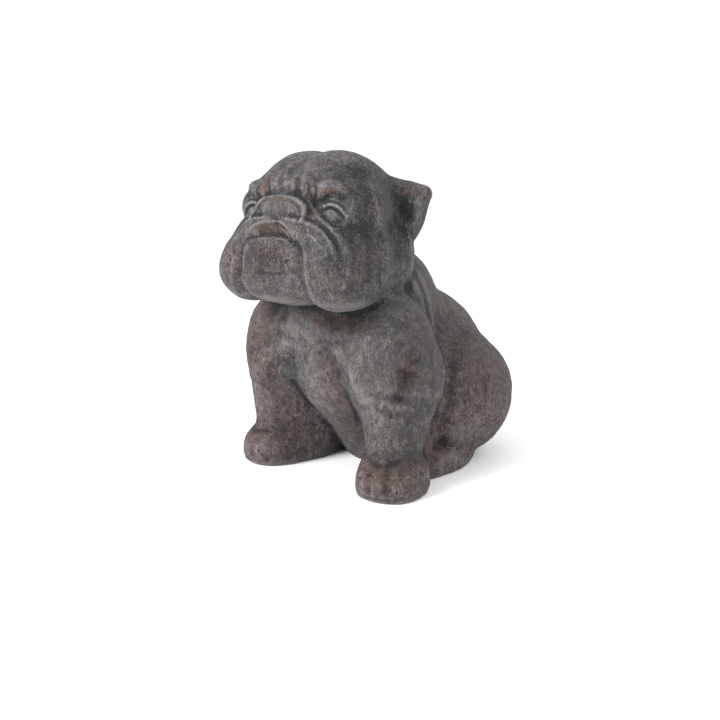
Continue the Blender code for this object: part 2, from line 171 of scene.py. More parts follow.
STROKES = (
    # Furrow along the skull
    Stroke(0, ((0, 92.0), (0, 98), (0, 103)), 2.4, -0.25),
    # Brow, and the crease under it
    Stroke(42, ((-15.2, 87.9), (-13.0, 89.7), (-10.6, 90.2), (-8.1, 89.0)), 1.3, 0.6),
    Stroke(42, ((-14.4, 86.1), (-12.9, 87.7), (-10.9, 88.3), (-9.0, 87.6), (-7.7, 85.6)), 1.1, -0.65),
    # Roll round the nose, and the fold from it down the cheek
    Stroke(0, ((0, 86.9), (6, 86.3), (9.3, 84.6), (10.7, 81.6)), 0.9, 0.7, fade=False),
    Stroke(0, ((0, 88.9), (6.6, 88.1), (10.3, 86.0), (12.0, 82.6)), 1.1, -0.8),
    Stroke(42, ((-20.4, 88.6), (-18.1, 86.4), (-16.6, 83.6), (-15.0, 81), (-12.4, 78.6), (-9.7, 76.2),
                (-7.9, 73.3), (-7.4, 69), (-8.2, 64)), 1.2, 0.9),
    # Lips
    Stroke(0, ((10.6, 76.9), (13.2, 72.7), (14.6, 68.8), (16.0, 64), (16.8, 59.4)), 1.1, 0.4, fade=False),
    # Folds of the cheek, from the ear to the jaw
    Stroke(42, ((-2.6, 80), (-1.5, 74), (-1.9, 67), (-3.5, 61)), 1.6, -0.7, near=14),
    Stroke(42, ((0.5, 84), (2.6, 77), (3.2, 69), (1.4, 61)), 1.4, 0.8, near=14),
    Stroke(42, ((4.0, 80), (6.6, 73), (7.0, 67), (5.5, 61)), 1.6, -0.8, near=14),
    # Folds of skin from the neck to the elbow
    Stroke(66, ((1, 66), (6.0, 58), (8.8, 49), (8.6, 40), (5.0, 30)), 1.5, 0.6),
    Stroke(66, ((-2, 64), (3.0, 56), (5.8, 48), (5.5, 39)), 1.5, -0.6),
    # Ridge of the breastbone into the leg, and the hollow of the shoulder
    Stroke(42, ((-11, 46), (-9.9, 42), (-6.8, 36.6), (-3.0, 31), (-1.0, 27)), 2.4, 0.9, near=14),
    Stroke(42, ((10.6, 41), (9.2, 36.5), (7.4, 32), (6.4, 28)), 3.2, -0.9, near=14),
    # Furrow down the back, and the crease in front of the haunch
    Stroke(180, ((0, 66), (0, 54), (0, 42), (0, 30)), 2.4, -0.6),
    Stroke(90, ((2.5, 12), (1.5, 22), (5, 33), (14, 41), (26, 43)), 1.8, -0.6),
    # Crease across the chin
    Stroke(0, ((-6.0, 67.2), (-1, 66.0), (5.3, 66), (9.5, 67.0)), 1.4, -0.3, both=False),
    # Toes
    Stroke(20, ((13.4, 9.5), (13.0, 5.0), (13.0, 1.5)), 1.5, -0.3, near=20),
    Stroke(20, ((18.6, 9.8), (19.0, 5.0), (19.2, 1.5)), 1.5, -0.3, near=20),
)
# Lines too fine for the plain casting
FINE_STROKES = (
    # Upper lid, the slit under it, the two creases over it, and the lower lid with its crease
    Stroke(42, ((-15.0, 83.9), (-13.5, 84.9), (-11.6, 85.1), (-9.6, 84.2), (-8.0, 82.0)), 0.36, 0.22),
    Stroke(42, ((-14.8, 83.0), (-13.2, 84.1), (-11.5, 84.2), (-9.6, 82.9), (-8.0, 80.9)), 0.34, -0.42),
    Stroke(42, ((-15.6, 84.9), (-13.5, 85.8), (-11.4, 86.0), (-9.2, 85.2), (-7.6, 83.4)), 0.34, -0.34),
    Stroke(42, ((-14.8, 86.3), (-12.8, 87.1), (-10.6, 87.0), (-8.6, 86.0)), 0.34, -0.22),
    Stroke(42, ((-13.0, 80.4), (-11.6, 79.8), (-10.0, 79.6), (-8.8, 80.4)), 0.34, -0.20),
    Stroke(42, ((-12.8, 79.2), (-11.0, 78.6), (-9.4, 78.7)), 0.5, 0.12),
    # Furrows under the eye and across the muzzle
    Stroke(42, ((-16.4, 80.6), (-13.2, 78.0), (-10.6, 75.3), (-9.2, 72)), 0.7, -0.30),
    Stroke(42, ((-26.4, 81.4), (-21.4, 80.8), (-16.3, 79.3), (-12.6, 75.8), (-11.0, 71.5)), 0.42, 0.26),
    Stroke(42, ((-26.0, 82.4), (-20.8, 82.0), (-15.6, 80.5), (-11.6, 77.0), (-9.8, 73)), 0.55, -0.30),
    Stroke(42, ((-18.4, 77.4), (-16.8, 76.4), (-15.0, 74.4)), 0.3, 0.14),
    # Roll round the nose, with the groove inside it and the two outside
    Stroke(0, ((0, 87.2), (4.6, 86.9), (8.0, 85.6), (10.2, 82.9), (10.4, 80.9)), 0.34, 0.20, fade=False),
    Stroke(0, ((0, 86.3), (4.4, 86.0), (7.4, 84.9), (9.1, 82.6), (9.2, 80.9)), 0.36, -0.26, fade=False),
    Stroke(42, ((-22.6, 88.4), (-19.4, 86.6), (-17.6, 83.6), (-16.0, 81.2)), 0.4, -0.26),
    # Edge of the upper lip, its slit at the dog's left, and the split under the nose
    Stroke(0, ((-10.6, 75.8), (-8.6, 78.5), (-5.2, 80.0), (-1, 80.5), (2.6, 80.1), (6, 78.4), (8, 75.6)),
           0.4, 0.28, both=False),
    Stroke(0, ((1.6, 79.3), (4.6, 78.3), (6.6, 76.3), (7.4, 74.8)), 0.36, -0.50, both=False),
    Stroke(0, ((0, 82.2), (0.1, 81.2), (0, 79.9)), 0.4, -0.35),
    # Edges of the bulges between the brows
    Stroke(42, ((-18.5, 91.4), (-19.0, 89.0), (-18.2, 86.9)), 0.4, 0.20),
    Stroke(42, ((-16.6, 91.0), (-16.0, 88.6), (-16.6, 86.6)), 0.45, -0.30),
    # Creases of the chin
    Stroke(0, ((-2.0, 66.5), (1.2, 66.2), (5.3, 66.5), (8.5, 68.0)), 0.4, -0.14, both=False),
    Stroke(0, ((-8.5, 75.0), (-3.0, 76.0), (3.0, 75.8), (8.0, 74.6)), 0.5, 0.16, both=False),
    Stroke(0, ((-9.4, 74.4), (-10.6, 70.0), (-10.2, 65.0)), 0.5, 0.16, both=False),
    # Wrinkles of the brow and the skull
    Stroke(42, ((-18.6, 94.0), (-16.4, 92.2), (-13.4, 92.6)), 0.6, -0.22),
    Stroke(42, ((-13.0, 91.6), (-10.0, 92.4), (-7.4, 90.6), (-6.0, 87.4)), 0.7, -0.20),
    Stroke(42, ((-2.0, 93.0), (-0.6, 88.0), (0.6, 82.0), (0.3, 75.0)), 0.8, 0.22, near=12),
    # Folds behind the cheek and down the neck
    Stroke(42, ((9.4, 79), (10.6, 73), (10.6, 67), (8.4, 61)), 0.7, 0.40, near=10),
    Stroke(66, ((4.0, 66), (8.6, 58), (11.6, 49), (11.6, 40), (8.5, 30)), 0.8, -0.20),
    Stroke(66, ((6.4, 66), (11.0, 58), (14.0, 49), (14.0, 41)), 0.7, 0.14),
    Stroke(66, ((-0.4, 65), (4.4, 57.5), (7.2, 48.5), (7.1, 39.5), (4.0, 31)), 0.5, -0.12),
    # Where the leg meets the chest, and the wrist
    Stroke(42, ((-8.6, 31.0), (-7.6, 27.9), (-5.5, 21.7), (-5.0, 15.0)), 0.9, -0.35, near=14),
    Stroke(42, ((1.0, 27.5), (4.5, 26.0), (8.0, 26.6)), 0.9, -0.25, near=14),
    Stroke(42, ((-3.6, 12.4), (0.0, 11.0), (4.5, 11.2), (8.4, 12.8)), 0.8, -0.25, near=16),
    # Edge of the sole
    Stroke(20, ((9.0, 1.6), (13.0, 1.3), (18.0, 1.3), (23.0, 1.7)), 0.5, -0.22, near=20, fade=False),
)


@dataclass(frozen=True)
class Patch:
    """A soft patch of one tone: where its middle is, how far it reaches, and how strong it is."""

    at: tuple
    reach: tuple
    strength: float = 1.0
    both: bool = True


# Brown: mouth, nose, brows, frown, corners of the eyes, ears, cheeks, neck, shoulders and paws
RUST_PATCHES = (
    Patch((-1.6, -42.5, 77.8), (8.5, 3.5, 2.1), 1.3, both=False),
    Patch((-4.5, -43.5, 80.9), (5.5, 2.0, 1.0), 0.7, both=False),
    Patch((0.0, -41.5, 84.3), (6.5, 2.5, 1.8), 0.5, both=False),
    Patch((0.0, -39.5, 86.6), (6.5, 3.0, 1.3), 0.7, both=False),
    Patch((16.5, -36.0, 88.9), (3.8, 3.0, 1.3), 1.1),
    Patch((9.5, -37.4, 88.9), (1.7, 2.0, 2.6), 1.1),
    Patch((-8.6, -36.4, 91.2), (1.7, 2.0, 2.4), 0.9, both=False),
    Patch((4.8, -37.0, 90.6), (1.6, 2.0, 2.4), 0.8, both=False),
    Patch((12.4, -38.0, 83.5), (1.4, 2.0, 3.0), 0.7),
    Patch((10.9, -40.0, 81.4), (1.6, 2.0, 3.0), 0.6),
    Patch((24.3, -11.6, 88.3), (5.0, 3.0, 1.3), 0.8),
    Patch((24.9, -41.0, 69.0), (1.6, 2.5, 3.5), 0.6),
    Patch((12.0, -28.5, 51.0), (11.0, 5.0, 2.2), 1.3, both=False),
    Patch((-10.7, -28.5, 50.6), (3.6, 4.0, 2.2), 1.1, both=False),
    Patch((33.9, -23.6, 39.6), (3.4, 4.0, 3.6), 0.9),
    Patch((30.8, -26.8, 30.1), (2.2, 3.0, 1.6), 0.7),
    Patch((30.8, -28.4, 7.6), (5.5, 3.5, 2.2), 0.9),
    Patch((27.8, 0.8, 8.0), (4.0, 6.0, 3.0), 0.8),
)
# Plum: the dog's right arm, its haunches, paws and back, its chin and the right flew, and a little of
# it over the whole body and the jaws
PLUM_PATCHES = (
    Patch((-24.0, -28.0, 40.0), (9.0, 12.0, 14.0), 0.9, both=False),
    Patch((-24.0, -24.0, 18.0), (9.0, 10.0, 10.0), 0.8, both=False),
    Patch((30.0, 18.0, 22.0), (16.0, 22.0, 20.0), 1.0),
    Patch((25.0, -22.0, 5.0), (13.0, 14.0, 7.0), 1.3),
    Patch((0.0, -38.0, 68.0), (26.0, 10.0, 9.0), 0.4, both=False),
    Patch((30.0, 12.0, 8.0), (12.0, 20.0, 7.0), 0.7),
    Patch((0.0, 30.0, 45.0), (30.0, 25.0, 22.0), 0.7, both=False),
    Patch((1.6, -45.3, 71.5), (4.5, 3.0, 2.6), 0.9, both=False),
    Patch((-16.4, -44.8, 69.0), (4.0, 4.0, 6.0), 0.5, both=False),
    Patch((4.0, -27.0, 36.0), (7.0, 6.0, 9.0), 0.5, both=False),
    Patch((0.0, -5.0, 22.0), (45.0, 50.0, 24.0), 0.4, both=False),
)
# Soot: smudges on the skull, temples, ears, brows, cheeks, chin, shoulders, haunches, the dog's right
# arm and the paws, and the band under the jaw
SOOT_PATCHES = (
    Patch((17.2, -25.9, 93.9), (3.5, 4.0, 2.5), 0.9, both=False),
    Patch((24.0, -31.0, 87.5), (4.6, 5.0, 6.4), 1.3),
    Patch((23.2, -15.1, 78.0), (2.6, 5.0, 8.0), 0.8),
    Patch((22.7, -42.5, 70.6), (3.5, 3.5, 3.5), 0.9),
    Patch((-1.0, -45.0, 70.0), (10.0, 4.0, 6.0), 1.1, both=False),
    Patch((5.4, -31.0, 97.3), (5.0, 4.0, 2.5), 0.6, both=False),
    Patch((-7.0, -31.0, 96.0), (6.0, 5.0, 2.6), 0.6, both=False),
    Patch((14.0, -26.0, 91.5), (7.0, 8.0, 5.0), 0.5),
    Patch((0.0, -26.0, 51.5), (28.0, 10.0, 2.2), 0.5, both=False),
    Patch((33.6, -23.0, 38.0), (4.5, 6.0, 8.0), 1.0),
    Patch((32.0, -16.0, 50.0), (6.0, 9.0, 7.0), 0.5),
    Patch((34.1, 12.0, 24.0), (6.0, 9.0, 7.0), 0.3),
    Patch((28.0, -29.0, 10.0), (6.0, 4.0, 1.8), 0.8),
    Patch((16.0, -35.5, 86.7), (4.2, 3.0, 1.1), 0.9),
    Patch((12.0, -37.0, 87.4), (1.2, 2.0, 2.2), 0.8),
    Patch((-24.0, -29.0, 36.0), (8.0, 10.0, 14.0), 1.25, both=False),
    Patch((25.0, -26.0, 6.0), (13.0, 9.0, 7.0), 1.1),
    Patch((30.6, -29.0, 6.0), (6.0, 4.0, 4.0), 0.9, both=False),
    Patch((10.0, -29.0, 50.6), (13.0, 5.0, 2.4), 1.7, both=False),
    Patch((-10.7, -28.5, 50.6), (4.0, 4.0, 2.2), 0.8, both=False),
    Patch((9.7, -37.4, 88.8), (2.0, 2.0, 2.4), 1.2, both=False),
    Patch((24.3, -11.6, 88.0), (5.0, 3.0, 1.5), 0.6),
    Patch((20.5, -34.0, 76.0), (7.0, 8.0, 9.0), 0.35),
)
# Dust: the chip on the left brow, and pale rubbing on the skull, the mouth, the chin's top edge, the
# chest, legs, haunches and back; along the jaw's lower edge pale scratches, with painted light over the
# shade under the jowls; and painted light on the belly between the legs
DUST_AND_LIGHT_PATCHES = (
    Patch((13.4, -36.6, 90.4), (0.9, 1.5, 0.8), 1.9, both=False),
    Patch((14.6, -35.6, 91.6), (1.0, 1.5, 0.6), 1.2, both=False),
    Patch((15.5, -36.3, 82.7), (1.9, 1.5, 1.1), 0.9),
    Patch((-9.5, -32.0, 95.5), (3.0, 3.0, 1.4), 0.7, both=False),
    Patch((2.0, -22.0, 99.0), (16.0, 12.0, 4.0), 1.2, both=False),
    Patch((-2.9, -43.5, 75.4), (7.0, 3.0, 1.1), 0.8, both=False),
    Patch((-8.0, -28.0, 42.6), (7.0, 5.0, 9.0), 0.7, both=False),
    Patch((-2.8, -27.0, 34.6), (9.0, 6.0, 9.0), 0.4, both=False),
    # Painted light on the belly between the legs
    Patch((-10.0, -13.0, 13.0), (8.0, 8.0, 9.0), 1.3, both=False),
    Patch((29.2, 7.0, 9.0), (8.0, 8.0, 5.0), 0.9),
    Patch((-1.6, -42.8, 77.4), (8.0, 3.0, 1.6), 1.5, both=False),
    # Painted light on the belly between the legs
    Patch((-4.0, -20.0, 24.0), (9.0, 9.0, 9.0), 0.7, both=False),
    Patch((25.0, -28.0, 26.0), (4.0, 4.0, 6.0), 0.8),
    # Along the jaw's lower edge: pale scratches, and painted light over the shade under the jowls
    Patch((20.0, -37.0, 58.4), (9.0, 7.0, 1.5), 2.0),
    Patch((18.0, -29.0, 56.0), (15.0, 7.0, 1.7), 2.0, both=False),
    Patch((22.0, -18.0, 58.6), (5.0, 10.0, 1.6), 1.6),
    Patch((-2.0, -41.5, 58.2), (11.0, 5.0, 1.3), 2.0, both=False),
    Patch((0.0, 30.0, 48.0), (24.0, 18.0, 16.0), 0.6, both=False),
    Patch((30.0, 16.0, 14.0), (10.0, 22.0, 12.0), 0.7),
)


def rotation(turn: tuple) -> np.ndarray:
    """Matrix whose columns are a mass's own axes, from degrees about X, Y and Z."""
    return np.array(Euler([math.radians(t) for t in turn]).to_matrix())


def ellipsoid_distance(p: np.ndarray, mass: Mass) -> np.ndarray:
    """Near distance to a squared-off ellipsoid, (k - 1) / |grad k|.

    With q the point over the radii, s = (qx^n + qy^n)^(1/n) and k = (s^m + qz^m)^(1/m), where n
    squares off the plan and m the height.

    Args:
        p: the points, one row each.
        mass: the ellipsoid.

    Returns:
        One distance for each point, negative inside.
    """
    n, m = mass.square, mass.crown
    r = np.array(mass.radii)
    q = np.abs((p - np.array(mass.at)) @ rotation(mass.turn)) / r + TINY
    s = (q[:, 0] ** n + q[:, 1] ** n) ** (1.0 / n)
    k = (s**m + q[:, 2] ** m) ** (1.0 / m)
    around = (s / k) ** (m - 1.0)
    slope = np.stack([around * (q[:, 0] / s) ** (n - 1.0), around * (q[:, 1] / s) ** (n - 1.0),
                      (q[:, 2] / k) ** (m - 1.0)], 1) / r
    return (k - 1.0) / np.linalg.norm(slope, axis=1)


def limb_distance(p: np.ndarray, mass: Mass) -> np.ndarray:
    """Distance to the line from `at` to `to`, less a radius that runs evenly between the two.

    Args:
        p: the points, one row each.
        mass: the limb.

    Returns:
        One distance for each point, negative inside.
    """
    a, b = np.array(mass.at, float), np.array(mass.to, float)
    along = np.clip((p - a) @ (b - a) / ((b - a) @ (b - a)), 0.0, 1.0)
    gap = np.linalg.norm(p - a - along[:, None] * (b - a), axis=1)
    return gap - (mass.radii[0] + along * (mass.radii[1] - mass.radii[0]))


def folded(p: np.ndarray, soften: float = 0.8) -> np.ndarray:
    """Mirror images on the +X side: x becomes the root of x^2 + soften^2.

    Args:
        p: the points, one row each.
        soften: how far from X = 0 the fold is still rounded.

    Returns:
        The mirror images, one row each.
    """
    q = p.copy()
    q[:, 0] = np.sqrt(p[:, 0] ** 2 + soften**2)
    return q


def join(a: np.ndarray, b: np.ndarray, blend: float) -> np.ndarray:
    """Smooth union: the lesser distance, lowered by h^2 blend / 4 where the two are within `blend`."""
    h = np.maximum(blend - np.abs(a - b), 0.0) / blend
    return np.minimum(a, b) - h * h * blend / 4.0


def carve(a: np.ndarray, b: np.ndarray, blend: float) -> np.ndarray:
    """Smooth difference: what is in a and not in b."""
    return -join(-a, b, blend)


def smooth_line(points: tuple, pieces: int = 8) -> np.ndarray:
    """Points along a Catmull-Rom curve that passes through every given point.

    Args:
        points: the given points, in order.
        pieces: how many steps lie between two of them.

    Returns:
        The curve's points, one row each.
    """
    c = np.array(points, float)
    c = np.vstack([2 * c[0] - c[1], c, 2 * c[-1] - c[-2]])
    t = np.linspace(0.0, 1.0, pieces, endpoint=False)[:, None]
    runs = []
    for a, b, d, e in zip(c[:-3], c[1:-2], c[2:-1], c[3:]):
        runs.append(b + 0.5 * t * (d - a + t * (2 * a - 5 * b + 4 * d - e + t * (3 * (b - d) + e - a))))
    return np.vstack(runs + [c[-2:-1]])


@dataclass(frozen=True)
class Figure:
    """The dog's form as a field: how far each point is from its skin.

    The head reaches nothing below `head_from`, and `step` is how far apart slopes are measured.
    """

    head_from: float = 46.0
    step: float = 0.05

    def masses(self, p: np.ndarray, q: np.ndarray, group: tuple,
               start: np.ndarray | None = None) -> np.ndarray:
        """Smooth union of a group of masses, onto `start` where it is given.

        Args:
            p: the points.
            q: their mirror images on the +X side, for the masses that are on both sides.
            group: the masses.
            start: the distances that the masses are joined to.

        Returns:
            One distance for each point.
        """
        found = start
        for mass in group:
            where = q if mass.both else p
            d = limb_distance(where, mass) if mass.to else ellipsoid_distance(where, mass)
            found = d if found is None else join(found, d, mass.blend)
        return found

    def head(self, p: np.ndarray, q: np.ndarray) -> np.ndarray:
        """Distance to the head, from the skull to the last carved detail of the face.

        Args:
            p: the points.
            q: their mirror images on the +X side.

        Returns:
            One distance for each point.
        """
        d = self.masses(p, q, EARS, self.masses(p, q, HEAD))
        d = carve(d, self.masses(p, q, EAR_HOLLOWS), EDGES.ear_hollow)
        d = carve(d, self.masses(p, q, SOCKETS), EDGES.socket)
        lids = carve(self.masses(p, q, EYELIDS), self.masses(p, q, EYE_OPENINGS), EDGES.eye_opening)
        d = self.masses(p, q, EYES, join(d, lids, EDGES.eyelid))
        d = carve(d, self.masses(p, q, FROWN), EDGES.frown)
        d = carve(self.masses(p, q, FLEWS, d), self.masses(p, q, MOUTH), EDGES.mouth)
        d = join(d, self.masses(p, q, CHIN), EDGES.chin)
        return carve(self.masses(p, q, NOSE, d), self.masses(p, q, NOSTRILS), EDGES.nostril)

    def distance(self, p: np.ndarray) -> np.ndarray:
        """Distance to the whole skin, cut off at the ground with a slightly rounded edge.

        Args:
            p: the points.

        Returns:
            One distance for each point, negative inside.
        """
        q = folded(p)
        body = self.masses(p, q, LEGS, self.masses(p, q, TORSO))
        d = body.copy()
        high = np.flatnonzero(p[:, 2] > self.head_from)
        d[high] = join(body[high], self.head(p[high], q[high]), EDGES.neck)
        return carve(d, p[:, 2], EDGES.ground)

    def slope(self, p: np.ndarray) -> np.ndarray:
        """Central differences of the distance along X, Y and Z.

        Args:
            p: the points.

        Returns:
            The way in which the distance grows, one row for each point.
        """
        out = np.empty_like(p)
        for axis in range(3):
            shift = np.zeros(3)
            shift[axis] = self.step
            out[:, axis] = (self.distance(p + shift) - self.distance(p - shift)) / (2 * self.step)
        return out


@dataclass
class Chisel:
    """Works out how far strokes lift or lower the skin.

    A stroke marks what is within `reach` widths of it. It marks skin in full where
    `facing_gain` * cosine - `facing_loss` is 1 or more, with the cosine of the angle between the skin's
    normal and the way to the viewer. It begins over `near_depth`, and grows from `end_share` at each
    end, at `end_rate` times the share of its length.
    """

    p: np.ndarray
    normal: np.ndarray
    reach: float = 2.5
    facing_gain: float = 2.5
    facing_loss: float = 0.2
    near_depth: float = 2.0
    end_share: float = 0.3
    end_rate: float = 5.0

    def __post_init__(self) -> None:
        """Keeps the points' and the normals' mirror images on the +X side."""
        self.folded = folded(self.p)
        self.mirrored = self.normal.copy()
        self.mirrored[self.p[:, 0] < 0.0, 0] *= -1.0

    def mask(self, stroke: Stroke) -> np.ndarray:
        """How strongly the stroke marks each point: exp(-(gap / width)^2), less where it faces away.

        Args:
            stroke: the line.

        Returns:
            A share from 0 to 1 for each point.
        """
        p, normal = (self.folded, self.mirrored) if stroke.both else (self.p, self.normal)
        az = math.radians(stroke.seen)
        viewer = np.array((math.sin(az), -math.cos(az), 0.0))
        seen = np.stack([p[:, 0] * math.cos(az) + p[:, 1] * math.sin(az), p[:, 2]], 1)
        line = smooth_line(stroke.points)
        reach = self.reach * stroke.width
        low, high = line.min(0) - reach, line.max(0) + reach
        facing = np.clip(self.facing_gain * (normal @ viewer) - self.facing_loss, 0.0, 1.0)
        facing *= np.clip((p @ viewer - stroke.near) / self.near_depth + 1.0, 0.0, 1.0)
        close = np.flatnonzero(((seen > low) & (seen < high)).all(1) & (facing > 0.0))
        out = np.zeros(len(p))
        if len(close) == 0:
            return out
        s = seen[close][:, None, :] - line[None, :-1]
        run = np.diff(line, axis=0)
        along = np.clip((s * run).sum(2) / np.maximum((run * run).sum(1), TINY), 0.0, 1.0)
        gap = np.linalg.norm(s - along[..., None] * run, axis=2)
        nearest = gap.argmin(1)
        rows = np.arange(len(close))
        where = (nearest + along[rows, nearest]) / len(run)
        share = np.exp(-((gap[rows, nearest] / stroke.width) ** 2))
        if stroke.fade:
            share *= np.clip(self.end_rate * where, self.end_share, 1.0)
            share *= np.clip(self.end_rate * (1.0 - where), self.end_share, 1.0)
        out[close] = share * facing[close]
        return out

    def rise(self, strokes: tuple) -> np.ndarray:
        """The rise of all these strokes together at each point."""
        return sum(stroke.rise * self.mask(stroke) for stroke in strokes)

    def crests(self, strokes: tuple) -> np.ndarray:
        """Where a raised stroke has a crest for the dry brush to catch, from 0 to 1."""
        return np.clip(sum(self.mask(stroke) for stroke in strokes if stroke.rise > 0.0), 0.0, 1.0)

    def slit_shades(self, strokes: tuple) -> np.ndarray:
        """Painted shade in the slits of furrows that the mesh is too coarse to cut deep: the sum of (its
        depth / the deepest)^2 times its mask.

        Args:
            strokes: the lines, of which only the furrows count.

        Returns:
            A share from 0 to 1 for each point.
        """
        deepest = min(stroke.rise for stroke in strokes)
        furrows = (stroke for stroke in strokes if stroke.rise < 0.0)
        return np.clip(sum((stroke.rise / deepest) ** 2 * self.mask(stroke) for stroke in furrows), 0.0, 1.0)


@dataclass
class Grain:
    """Smooth noise: random numbers on a lattice, blended between its points with a quintic ease.

    In layered noise each layer has `fading` of the strength of the last and is shifted by `shift`.
    """

    seed: int
    size: int = 32
    fading: float = 0.55
    shift: float = 7.3

    def __post_init__(self) -> None:
        """Draws the lattice's numbers from the seed."""
        self.lattice = np.random.default_rng(self.seed).uniform(-1.0, 1.0, (self.size,) * 3)

    def at(self, p: np.ndarray, wavelength: float) -> np.ndarray:
        """The lattice's numbers blended by 6 f^5 - 15 f^4 + 10 f^3 along each axis of a cell.

        Args:
            p: the points.
            wavelength: how far apart the lattice's points are.

        Returns:
            The noise at each point, from -1 to 1.
        """
        q = p / wavelength
        cell = np.floor(q).astype(int)
        f = q - cell
        f = f**3 * (f * (6.0 * f - 15.0) + 10.0)
        out = np.zeros(len(p))
        for corner in np.ndindex(2, 2, 2):
            index = (cell + corner) % self.size
            share = np.where(corner, f, 1.0 - f).prod(1)
            out += share * self.lattice[index[:, 0], index[:, 1], index[:, 2]]
        return out

    def layered(self, p: np.ndarray, wavelength: float, layers: int) -> np.ndarray:
        """Layers of noise summed, each of half the wavelength of the last."""
        return sum(self.fading**k * self.at(p + self.shift * k, wavelength / 2.0**k) for k in range(layers))


class Seed(Enum):
    """The seed of each noise in the relief."""

    LUMPS = 3
    HAMMER = 11
    PITS = 29
    CLUSTERS = 5


@dataclass
class Skin:
    """The fine skin of the casting: its spacing, its relief, and the values that the patina reads."""

    figure: Figure
    # Mesh: its spacing, and where it is twice as fine, over the face and the ears
    weld: float = 1e-6
    spacing: float = 0.86
    face_from: tuple = (-12.0, 57.0)
    ears_from: float = 74.0
    ears_out: float = 19.0
    # Settling on the figure
    relax_rounds: int = 4
    relax_share: float = 0.5
    settle_rounds: int = 3
    longest_step: float = 1.0
    least_slope: float = 0.4
    # Relief: heights and sizes of the lumps, the hammering and the pits, less lumpy above `lumps_to`
    lumps: float = 0.16
    lump_size: float = 7.0
    lump_layers: int = 3
    lumps_to: float = 60.0
    lumps_fade: float = 8.0
    lumps_least: float = 0.35
    hammer: float = 0.05
    hammer_size: float = 1.9
    hammer_layers: int = 2
    pit_depth: float = 0.56
    pit_size: float = 1.25
    pit_from: float = 0.52
    cluster_size: float = 9.0
    cluster_from: float = -0.25
    # Marks for the patina: how wide hollows and creases are looked for, and where the head begins
    hollow_rounds: int = 14
    crease_rounds: int = 3
    head_from: float = 56.0
    head_fade: float = 6.0
    # Which vertices are neighbours, kept when the skin is settled
    pairs: np.ndarray = field(init=False, repr=False)
    valence: np.ndarray = field(init=False, repr=False)

    def coordinates(self, mesh: bpy.types.Mesh) -> np.ndarray:
        """Reads the mesh's vertices.

        Args:
            mesh: the mesh.

        Returns:
            The vertices, one row each.
        """
        flat = np.empty(len(mesh.vertices) * 3)
        mesh.vertices.foreach_get("co", flat)
        return flat.reshape(-1, 3)

    def put(self, mesh: bpy.types.Mesh, p: np.ndarray) -> None:
        """Moves the mesh's vertices to p."""
        mesh.vertices.foreach_set("co", p.ravel())
        mesh.update()

    def start(self, node: bpy.types.Object) -> bpy.types.Mesh:
        """An even skin over the casting, in hundredths of the height, finer over the face and ears.

        Args:
            node: the plain casting, in metres.

        Returns:
            A mesh of quads, with smaller ones over the face.
        """
        bm = bmesh.new()
        bm.from_mesh(node.data)
        bmesh.ops.remove_doubles(bm, verts=bm.verts, dist=self.weld)
        mesh = bpy.data.meshes.new("skin")
        bm.to_mesh(mesh)
        bm.free()
        self.put(mesh, self.coordinates(mesh) / HUNDREDTH + np.array((0.0, MIDDLE_Y, 0.0)))
        obj = bpy.data.objects.new("skin_start", mesh)
        bpy.context.scene.collection.objects.link(obj)
        remesh = obj.modifiers.new("even", "REMESH")
        remesh.mode = "VOXEL"
        remesh.voxel_size = self.spacing
        even = bpy.data.meshes.new_from_object(obj.evaluated_get(bpy.context.evaluated_depsgraph_get()))
        bpy.data.objects.remove(obj)
        bm = bmesh.new()
        bm.from_mesh(even)
        face_y, face_z = self.face_from
        fine = []
        for quad in bm.faces:
            c = quad.calc_center_median()
            in_face = c.y < face_y and c.z > face_z
            in_ear = c.z > self.ears_from and abs(c.x) > self.ears_out
            if in_face or in_ear:
                fine.append(quad)
        edges = {edge for quad in fine for edge in quad.edges}
        bmesh.ops.subdivide_edges(bm, edges=list(edges), cuts=1, use_grid_fill=True)
        bmesh.ops.triangulate(bm, faces=[quad for quad in bm.faces if len(quad.verts) > 4])
        bm.to_mesh(even)
        bm.free()
        return even

    def neighbour_mean(self, values: np.ndarray) -> np.ndarray:
        """For each vertex, the sum of its neighbours' values over how many it has.

        Args:
            values: the values, one row for each vertex.

        Returns:
            The means, one row for each vertex.
        """
        a, b = self.pairs[:, 0], self.pairs[:, 1]
        columns = []
        for column in values.T:
            total = np.bincount(a, column[b], len(values)) + np.bincount(b, column[a], len(values))
            columns.append(total / self.valence)
        return np.stack(columns, 1)

    def settle(self, mesh: bpy.types.Mesh) -> tuple[np.ndarray, np.ndarray]:
        """Slides the vertices along the skin until they are even, and sets them on the figure's skin.

        Args:
            mesh: the even skin.

        Returns:
            The vertices and their normals.
        """
        p = self.coordinates(mesh)
        pairs = np.empty(len(mesh.edges) * 2, int)
        mesh.edges.foreach_get("vertices", pairs)
        self.pairs = pairs.reshape(-1, 2)
        self.valence = np.bincount(pairs, minlength=len(p)).astype(float)
        for turn in range(self.relax_rounds + self.settle_rounds):
            slope = self.figure.slope(p)
            size = np.linalg.norm(slope, axis=1, keepdims=True)
            normal = slope / np.maximum(size, TINY)
            if turn < self.relax_rounds:
                drift = self.neighbour_mean(p) - p
                p = p + self.relax_share * (drift - (drift * normal).sum(1, keepdims=True) * normal)
            step = (self.figure.distance(p) / np.maximum(size[:, 0], self.least_slope))[:, None]
            p = p - np.clip(step, -self.longest_step, self.longest_step) * normal
        return p, normal

    def hollow(self, p: np.ndarray, normal: np.ndarray, rounds: int) -> np.ndarray:
        """How hollow the skin is: the way from each point to the smoothed skin, along its normal.

        Args:
            p: the vertices.
            normal: their normals.
            rounds: how often the skin is smoothed, which sets how wide a hollow is looked for.

        Returns:
            More than 0 in hollows and less than 0 on ridges, in hundredths of the height.
        """
        smooth = p
        for _ in range(rounds):
            smooth = self.neighbour_mean(smooth)
        return ((smooth - p) * normal).sum(1)

